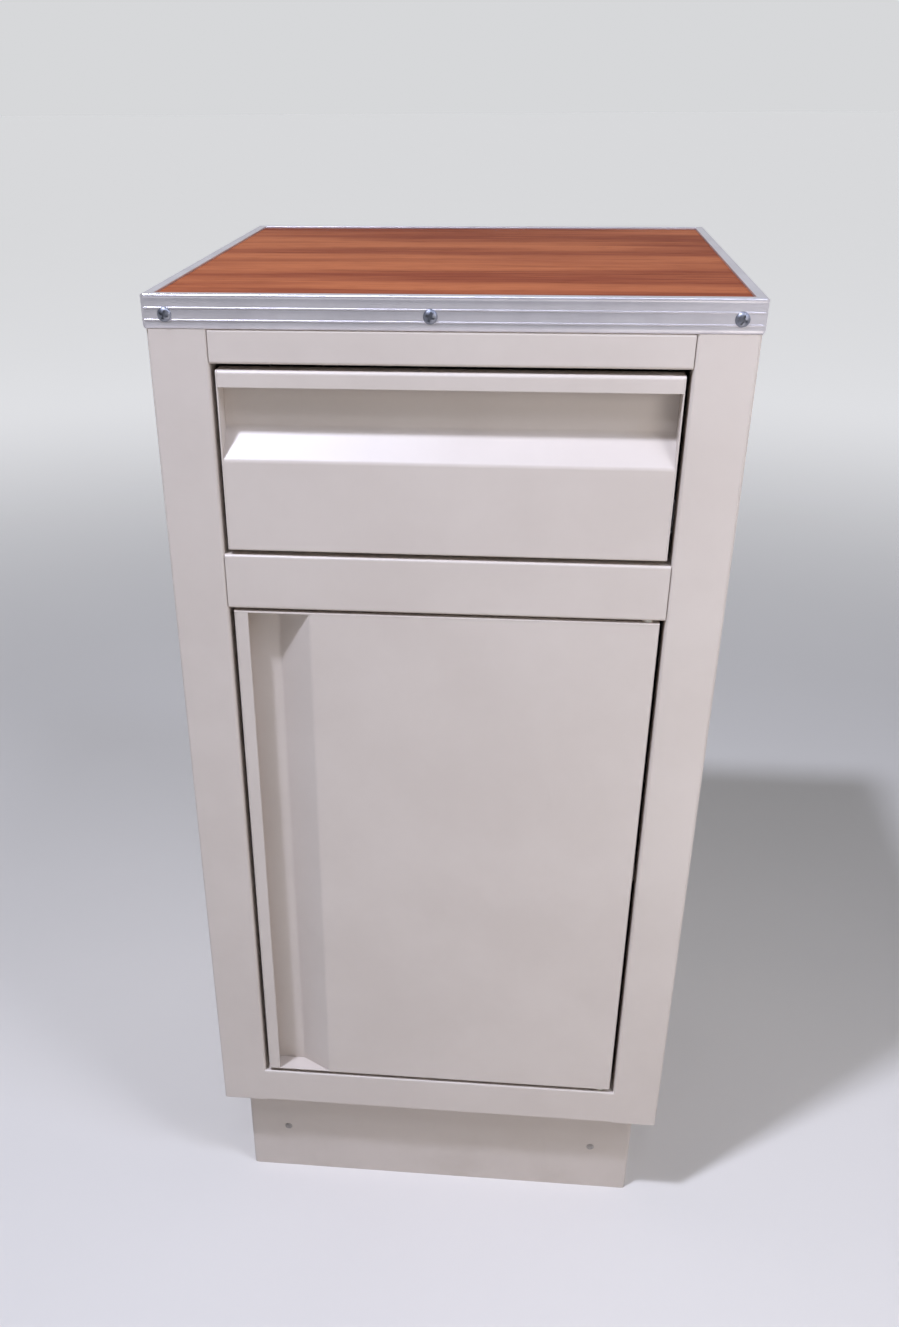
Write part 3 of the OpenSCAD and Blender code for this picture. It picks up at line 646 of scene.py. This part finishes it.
# %% Door
skin_low, skin_high = corners("door_skin")
plates_low, plates_high = corners("door_end_plates")
DOOR_LIP, DOOR_CREASE, DOOR_FOOT = 10.5 * MM, 30.5 * MM, 56.5 * MM
left_x = plates_low.x
door_line = [
    (left_x + DOOR_LIP, skin_low.y + SHEET),
    (left_x + SHEET, skin_low.y + SHEET),
    (left_x + SHEET, skin_low.y + PULL_DEPTH),
    (left_x + DOOR_CREASE, skin_low.y + PULL_DEPTH),
    (left_x + DOOR_FOOT, skin_low.y),
    (skin_high.x, skin_low.y),
    (skin_high.x, skin_high.y),
    (skin_high.x - RETURN, skin_high.y),
]
piece("door_face", fold(door_line, "Z", skin_low.z, skin_high.z, bend=PANEL_BEND),
      "powder_coat", "door", "door_skin")
caps = [plate((plates_low.x, plates_low.y, z), (plates_high.x, plates_high.y, z + SHEET),
              corner=PLATE_CORNER) for z in (plates_low.z, plates_high.z - SHEET)]
piece("door_caps", join(*caps), "powder_coat", "door", "door_end_plates")
liner = plate(*corners("door_inner_panel"), "Y", corner=PLATE_CORNER)
piece("door_liner", liner, "powder_coat", "door", "door_inner_panel")

# %% [markdown]
# ## The aluminium edging
# A die gives an extrusion a profile that no bend could: a bead along the top, three shallow
# convex bands between two ribs, and a foot that curls under. So the profile is drawn as a closed
# ring of points, each with its own rounding, grown along its length, and then rounded edge by edge.

# %% Extruded bar helper
BAR_STEPS = 4
ON_CORNER = 1e-7


def bar(profile, axis, start, stop):
    """A bar with a closed profile of (u, v, rounding), from start to stop along an axis."""
    bm = bmesh.new()
    verts = [bm.verts.new(spot(axis, u, v, start)) for u, v, _ in profile]
    face = bm.faces.new(verts)
    grown = bmesh.ops.extrude_face_region(bm, geom=[face])["geom"]
    moved = [g for g in grown if isinstance(g, bmesh.types.BMVert)]
    bmesh.ops.translate(bm, verts=moved, vec=spot(axis, 0, 0, stop - start))
    bmesh.ops.recalc_face_normals(bm, faces=bm.faces[:])
    for rounding in sorted({r for _, _, r in profile if r}, reverse=True):
        spots = [spot(axis, u, v, start) for u, v, r in profile if r == rounding]
        edges = [e for e in along(bm, axis)
                 if any(min((v.co - s).length for v in e.verts) < ON_CORNER for s in spots)]
        bevel(bm, edges, rounding, BAR_STEPS)
    return bm


print("each rounding of a bar has", BAR_STEPS, "steps")

# %% [markdown]
# ## The strip's profile
# The profile is given as distances in millimetres: how far a point stands out from the strip's
# face, and how far it lies below its crown. The third number is its rounding.

# %% Strip profile
RIB = 0.4 * MM
crown = corners("edging_front")[1].z
outer = corners("edging_left")[0].x + RIB


def strip_profile(face):
    """The wall's profile in metres; face is where its outer face stands."""
    points = (
        (-1.5, 21.5, 0.0), (-1.3, 21.5, 0.0), (-0.35, 20.4, 0.8), (0.2, 18.6, 1.0), (0.0, 16.6, 0.0),
        (0.4, 16.35, 0.15), (0.4, 15.65, 0.15), (0.0, 15.4, 0.0), (0.28, 12.25, 1.6), (0.0, 9.1, 0.0),
        (0.4, 8.85, 0.15), (0.4, 8.15, 0.15), (0.0, 7.9, 0.0), (0.28, 5.0, 1.2), (0.0, 2.4, 0.3),
        (0.3, 1.8, 0.3), (0.2, 0.6, 0.5), (-0.5, 0.0, 0.4), (-1.5, 0.0, 0.0),
    )
    return [(face - out * MM, crown - drop * MM, rounding * MM) for out, drop, rounding in points]


print("the strips' faces stand", round(-outer / MM, 3), "mm from the middle")

# %% [markdown]
# ## The four strips
# Each strip is a wall with a flat lip over the laminate. All four are made lying on the front and
# turned into place. The lips are mitred by cutting them along the diagonals; the walls simply butt,
# with the side walls running past the ends of the others.

# %% Edging strips
EDGE_T = 1.5 * MM
LIP_W, LIP_ROUND = 7 * MM, 0.5 * MM
OVERLAP = 0.05 * MM
board_top = corners("top_board")[1].z


def strip(side):
    """A strip along X: its wall and its lip. The wall of a side strip runs to the corners."""
    wall_end = -outer if side else -outer - EDGE_T
    shell = bar(strip_profile(outer), "X", -wall_end, wall_end)
    inner = outer + EDGE_T - OVERLAP
    lip_line = [(inner, board_top, 0.0), (outer + LIP_W, board_top, 0.0),
                (outer + LIP_W, crown, LIP_ROUND), (inner, crown, 0.0)]
    lip = bar(lip_line, "X", outer, -outer)
    for way in (-1, 1):
        cut = lip.verts[:] + lip.edges[:] + lip.faces[:]
        bmesh.ops.bisect_plane(lip, geom=cut, plane_co=(0, 0, 0), plane_no=(way, -1, 0), clear_inner=True)
        bmesh.ops.holes_fill(lip, edges=[e for e in lip.edges if e.is_boundary])
    bmesh.ops.recalc_face_normals(lip, faces=lip.faces[:])
    return join(shell, lip)


for node, turn, side in (("edging_front", 0, False), ("edging_rear", 180, False),
                         ("edging_left", -90, True), ("edging_right", 90, True)):
    shape = strip(side)
    bmesh.ops.rotate(shape, verts=shape.verts, matrix=Matrix.Rotation(math.radians(turn), 3, "Z"))
    piece(node + "_bar", shape, "edging_aluminium", "cabinet", node,
          material="edging_aluminium_sides" if side else "edging_aluminium")

# %% [markdown]
# ## Turned heads
# Screw and rivet heads are turned shapes: half a profile, spun about its axis. A squashed sphere
# would come close, but a drawn profile also has the low upright rim under the dome, and the shank.

# %% Turned heads
TURN_STEPS, DOME_STEPS = 32, 6
RIM_SHARE = 0.12
ON_AXIS = 1e-7


def turned(profile):
    """A closed turned shape about Y from (radius, y) points that start and end on the axis."""
    bm = bmesh.new()
    verts = [bm.verts.new((radius, y, 0)) for radius, y in profile]
    edges = [bm.edges.new(pair) for pair in zip(verts, verts[1:])]
    bmesh.ops.spin(bm, geom=verts + edges, cent=(0, 0, 0), axis=(0, 1, 0), angle=math.tau,
                   steps=TURN_STEPS, use_merge=True, use_duplicate=False)
    bmesh.ops.remove_doubles(bm, verts=bm.verts, dist=ON_AXIS)
    bmesh.ops.recalc_face_normals(bm, faces=bm.faces[:])
    return bm


def dome(radius, height):
    """Points of a domed head from its middle out to its rim, its flat side at y = 0."""
    angles = [math.pi / 2 * i / DOME_STEPS for i in range(DOME_STEPS)]
    points = [(radius * math.sin(a), -height * math.cos(a)) for a in angles]
    return points + [(radius, -RIM_SHARE * height), (radius, 0.0)]


print("heads are spun in", TURN_STEPS, "steps")

# %% [markdown]
# ## A cross recess
# The recess is cut by a Boolean with two crossed bars. It could be modelled face by face, but the
# Boolean keeps the dome's curve right up to the cut. It can leave slivers there, so points closer
# than 5 microns are merged afterwards.

# %% Cross recess
MERGE, SLIVER = 5e-6, 2e-6


def cut_cross(bm, reach, width, bottom):
    """The same head with a cross recess cut down to y = bottom."""
    head_mesh, bar_mesh = bpy.data.meshes.new("head"), bpy.data.meshes.new("cross")
    bm.to_mesh(head_mesh)
    bm.free()
    cutter = bmesh.new()
    for size in ((reach, width), (width, reach)):
        made = bmesh.ops.create_cube(cutter, size=1.0)["verts"]
        bmesh.ops.scale(cutter, verts=made, vec=(size[0], reach, size[1]))
        bmesh.ops.translate(cutter, verts=made, vec=(0, bottom - reach / 2, 0))
    cutter.to_mesh(bar_mesh)
    cutter.free()
    head, cross = (bpy.data.objects.new(m.name, m) for m in (head_mesh, bar_mesh))
    for obj in (head, cross):
        bpy.context.scene.collection.objects.link(obj)
    cut = head.modifiers.new("cut", "BOOLEAN")
    cut.object, cut.operation, cut.solver, cut.use_self = cross, "DIFFERENCE", "EXACT", True
    result = bmesh.new()
    result.from_mesh(head.evaluated_get(bpy.context.evaluated_depsgraph_get()).to_mesh())
    for obj in (head, cross):
        mesh = obj.data
        bpy.data.objects.remove(obj)
        bpy.data.meshes.remove(mesh)
    bmesh.ops.remove_doubles(result, verts=result.verts, dist=MERGE)
    bmesh.ops.dissolve_degenerate(result, edges=result.edges, dist=SLIVER)
    return result


print("points closer than", MERGE / MM, "mm are merged after the cut")

# %% [markdown]
# ## Copies on all four sides
# Screws and rivets repeat on all four sides. Linked objects would be lighter, but the heads of one
# kind are one piece, so one head is made lying on the front, copied along it, and the row is turned
# round the cabinet by quarters.

# %% Copies round the cabinet
def ring_of(bm, out, spots, z):
    """Copies of a shape at x spots along each side, out from the middle, at height z."""
    rows = []
    for turn in range(4):
        for x in spots:
            copy = bm.copy()
            bmesh.ops.translate(copy, verts=copy.verts, vec=(x, -out, z))
            bmesh.ops.rotate(copy, verts=copy.verts, matrix=Matrix.Rotation(turn * math.pi / 2, 3, "Z"))
            rows.append(copy)
    bm.free()
    print(len(rows), "copies")
    return join(*rows)


# %% [markdown]
# ## The screws in the edging
# Three screws hold each strip: one near either corner, and one a little off the middle. They were
# driven by hand, so their crosses don't stand square.

# %% Edging screws
HEAD_R, HEAD_H = 4.75 * MM, 2.5 * MM
SHANK_R, SHANK_END, TIP = 1.9 * MM, 11 * MM, 12 * MM
CROSS_REACH, CROSS_WIDTH, CROSS_BOTTOM = 5.8 * MM, 1.5 * MM, -0.8 * MM
CROSS_TURN = math.radians(20)
SCREW_INSET, SCREW_OFFSET = 15 * MM, -11 * MM
screw_low, screw_high = corners("edging_screws")
screw_z = (screw_low.z + screw_high.z) / 2

shank = [(SHANK_R, 0.0), (SHANK_R, SHANK_END), (0.0, TIP)]
head = cut_cross(turned(dome(HEAD_R, HEAD_H) + shank), CROSS_REACH, CROSS_WIDTH, CROSS_BOTTOM)
print("cross recess cut, open edges left:", sum(e.is_boundary for e in head.edges))
bmesh.ops.rotate(head, verts=head.verts, matrix=Matrix.Rotation(CROSS_TURN, 3, "Y"))
screw_spots = (SCREW_INSET + outer, SCREW_OFFSET, -outer - SCREW_INSET)
# The heads wear the darker copy of the zinc, with its painted dark reflection.
piece("edging_screw_heads", ring_of(head, -outer, screw_spots, screw_z), "zinc_steel", "cabinet",
      "edging_screws", material="zinc_screws_painted_dark_reflection")

# %% [markdown]
# ## The rivets in the plinth
# Two blind rivets on each side hold the plinth. Each has a low dome outside, a stem through the
# sheet and a wider tail behind it.

# %% Plinth rivets
RIVET_R, RIVET_H, RIVET_INSET = 3.5 * MM, 1.0 * MM, 36.5 * MM
STEM_R, STEM_END = 1.7 * MM, 2 * MM
TAIL_R, TAIL_END = 2.6 * MM, 3 * MM
rivet_low, rivet_high = corners("plinth_rivets")
rivet_z = (rivet_low.z + rivet_high.z) / 2
rivet_x = half_w - RIVET_INSET

stem = [(STEM_R, 0.0), (STEM_R, STEM_END), (TAIL_R, STEM_END), (TAIL_R, TAIL_END), (0.0, TAIL_END)]
rivet = turned(dome(RIVET_R, RIVET_H) + stem)
piece("plinth_rivet_heads", ring_of(rivet, -front_y, (-rivet_x, rivet_x), rivet_z), "painted_rivet",
      "cabinet", "plinth_rivets")

# %% [markdown]
# ## The drawer's tray
# The tray is a shallow pan, pressed with rounded corners. Five faces of a cube are enough: the lid
# is deleted, the corners are rounded while the sheet has no thickness, and Solidify's operator then
# gives every bend the same gauge.

# %% Tray
PAN_CORNER, PAN_STEPS = 2 * MM, 4
UPWARD = 0.9
tray_low, tray_high = corners("drawer_tray")

pan = block(tray_low, tray_high)
bmesh.ops.delete(pan, geom=[f for f in pan.faces if f.normal.z > UPWARD], context="FACES")
bevel(pan, [e for e in pan.edges if len(e.link_faces) == 2], PAN_CORNER, PAN_STEPS)
pan.normal_update()
bmesh.ops.solidify(pan, geom=pan.faces[:], thickness=SHEET)
bmesh.ops.recalc_face_normals(pan, faces=pan.faces[:])
round_cut_edges(pan)
piece("drawer_pan", pan, "powder_coat", "drawer", "drawer_tray")

# %% [markdown]
# ## The runners
# The runners are small channels: the drawer's own flange rides on the fixed rollers, and its
# rollers ride in the cabinet's channels. Each left one is folded from its line of (x, z) points,
# and the right one is its mirror image.

# %% Runners and their brackets
GAUGE, RUNNER_BEND = 1.2 * MM, 1.6 * MM


def around(node, *order):
    """A CAD node's (x, z) corners in the given order, such as "lh" for low x and high z."""
    ends = dict(zip("lh", corners(node)))
    return [(ends[x].x, ends[z].z) for x, z in order]


drawer_rail_low, drawer_rail_high = corners("left_drawer_runner")
drawer_rail_line = [
    (drawer_rail_high.x, tray_low.z),
    (tray_low.x, tray_low.z),
    (tray_low.x, drawer_rail_high.z),
    (drawer_rail_low.x, drawer_rail_high.z),
]
RUNNERS = (
    ("cabinet_runner", "runner_channel", "cabinet", around("left_cabinet_runner", "hh", "lh", "ll", "hl")),
    ("runner_bracket", "runner_holder", "cabinet", around("left_runner_bracket", "ll", "hl", "hh", "lh")),
    ("drawer_runner", "drawer_rail", "drawer", drawer_rail_line),
)
for side in ("left", "right"):
    for node, name, body, line in RUNNERS:
        low, high = corners("left_" + node)
        shape = fold(line, "Y", low.y, high.y, thickness=GAUGE, bend=RUNNER_BEND)
        shape = mirrored(shape) if side == "right" else shape
        piece(f"{side}_{name}", shape, "zinc_steel", body, f"{side}_{node}")

# %% [markdown]
# ## The shelf
# The shelf is one sheet with its front and rear edges folded down, which stiffens it and leaves no
# sharp edge for a hand. The same folding helper makes it as the rails, with the fold turned over.

# %% Shelf
shelf_low, shelf_high = corners("shelf")
shelf_line = [
    (shelf_high.y, shelf_low.z),
    (shelf_high.y, shelf_high.z),
    (shelf_low.y, shelf_high.z),
    (shelf_low.y, shelf_low.z),
]
piece("shelf_folded", fold(shelf_line, "X", shelf_low.x, shelf_high.x), "powder_coat", "cabinet", "shelf")

# %% [markdown]
# ## The floor
# The floor is a plain, pale screed. One square reaches so far that its corners never show. The
# lamps fade with distance, so the floor gives off a faint light of its own further out, all round
# a point 0.8 m in front of the cabinet's middle. Bigger lamps would even it out too, but would
# soften the shadows.

# %% Floor
FLOOR_HALF = 30.0
GLOW_SHIFT = (0, 0.8, 0)
GLOW_FROM, GLOW_FULL = 1.6, 4.2
screed_dark, screed_light = rgb(0.72, 0.685, 0.635), rgb(0.76, 0.72, 0.67)
far_light, no_light = rgb(0.52, 0.53, 0.55), rgb(0, 0, 0)

ground = bmesh.new()
bmesh.ops.create_grid(ground, x_segments=1, y_segments=1, size=FLOOR_HALF)
floor_mesh = bpy.data.meshes.new("floor")
ground.to_mesh(floor_mesh)
ground.free()
floor = bpy.data.objects.new("floor", floor_mesh)
bpy.context.scene.collection.objects.link(floor)
pale = Finish("floor", Roughness=0.7, Emission_Strength=1.0)
screed = pale.mix(pale.noise(0.4, detail=2.0), screed_dark, screed_light)
shifted = pale.place(shift=GLOW_SHIFT)
away = pale.node("VectorMath", {"operation": "LENGTH"}, {0: shifted}, output="Value")
glow = pale.mix(away.between(GLOW_FROM, GLOW_FULL), no_light, far_light)
floor_mesh.materials.append(pale.wear(Base_Color=screed, Emission_Color=glow))
print("the floor reaches", FLOOR_HALF, "m each way")

# %% [markdown]
# ## The lamps
# One small ceiling lamp, high on the left and in front, throws the crisp shadows under the edging
# and inside the finger pulls. The others are weak: they stand for other lamps and pale walls, and
# keep the fronts and the shadows from going dark. Each is a disk, aimed at a point on the cabinet.

# %% Lamps
def lamp(name, place, target, power, size, colour):
    light = bpy.data.lights.new(name, "AREA")
    light.shape, light.size, light.energy, light.color = "DISK", size, power, colour
    obj = bpy.data.objects.new(name, light)
    obj.location = place
    obj.rotation_euler = (Vector(target) - Vector(place)).to_track_quat("-Z", "Y").to_euler()
    bpy.context.scene.collection.objects.link(obj)
    print(f"{name}: {power} W")


LAMPS = (
    ("ceiling lamp", (-0.81, -1.01, 2.80), (0, -0.1, 0.5), 50.0, 0.20, (0.91, 0.98, 1.22)),
    ("middle lamp", (0.07, -1.75, 2.80), (0, -0.1, 0.5), 3.0, 0.10, (0.95, 0.99, 1.16)),
    ("right lamp", (0.75, -0.9, 2.3), (0.15, -0.2, 0.5), 6.2, 0.3, (0.92, 1.00, 1.26)),
    ("right wall", (1.5, -0.9, 1.7), (0.1, -0.2, 0.4), 5.8, 0.5, (0.90, 1.00, 1.30)),
    ("left fill", (-0.45, -0.75, 1.5), (-0.1, -0.2, 0.4), 1.3, 0.3, (0.99, 0.97, 1.04)),
    ("right fill", (0.55, -0.65, 0.9), (0.2, -0.2, 0.3), 1.5, 0.3, (1.0, 0.96, 0.97)),
    ("low fill", (0.42, -0.85, 0.04), (0.15, -0.2, 0.5), 1.3, 0.35, (1.0, 0.92, 0.84)),
)
for entry in LAMPS:
    lamp(*entry)

# %% [markdown]
# ## The surround
# The surround lights the cabinet softly from behind and hardly at all from the front, where it
# would wash out the shadows. The camera would see that as a background from pale to black, so its
# own rays get one even, pale value instead. Standard colour management keeps the paint's own grey.

# %% Surround
DIM, BRIGHT, BRIGHT_FROM = 0.03, 0.60, 0.8
BACKDROP = 0.70

world = bpy.data.worlds.new("surround")
world.use_nodes = True
sky = Net(world.node_tree)
direction = sky.node("TexCoord", output="Generated")
backward = sky.node("SeparateXYZ", None, {"Vector": direction}, output="Y")
light = backward.between(0.0, BRIGHT_FROM, DIM, BRIGHT)
seen = sky.node("LightPath", output="Is Camera Ray")
background = world.node_tree.nodes["Background"]
sky.feed(background.inputs["Strength"], sky.node("Mix", None, {0: seen, 2: light, 3: BACKDROP}))
sky.feed(background.inputs["Color"], rgb(0.97, 0.98, 1.0))
bpy.context.scene.world = world
bpy.context.scene.view_settings.view_transform = "Standard"
print("the surround goes from", DIM, "in front to", BRIGHT, "behind")

# %% [markdown]
# ## The camera
# The camera stands in front, above the top, and looks down. Tilting it more or less would frame the
# cabinet too, but would change how its upright edges converge, so the lens is shifted instead.

# %% Camera
EYE_PLACE = (0.0563, -1.0639, 0.9350)
EYE_TURN = (58.596, 0.460, 5.957)
LENS, SENSOR = 34.21, 36.0
SHIFT = (0.0423, 0.1276)

eye = bpy.data.cameras.new("camera")
eye.lens, eye.sensor_width, eye.sensor_fit = LENS, SENSOR, "AUTO"
eye.shift_x, eye.shift_y = SHIFT
camera = bpy.data.objects.new("camera", eye)
camera.location = EYE_PLACE
camera.rotation_euler = [math.radians(angle) for angle in EYE_TURN]
bpy.context.scene.collection.objects.link(camera)
bpy.context.scene.camera = camera
print("camera at", EYE_PLACE, "m with a", LENS, "mm lens")

# %% [markdown]
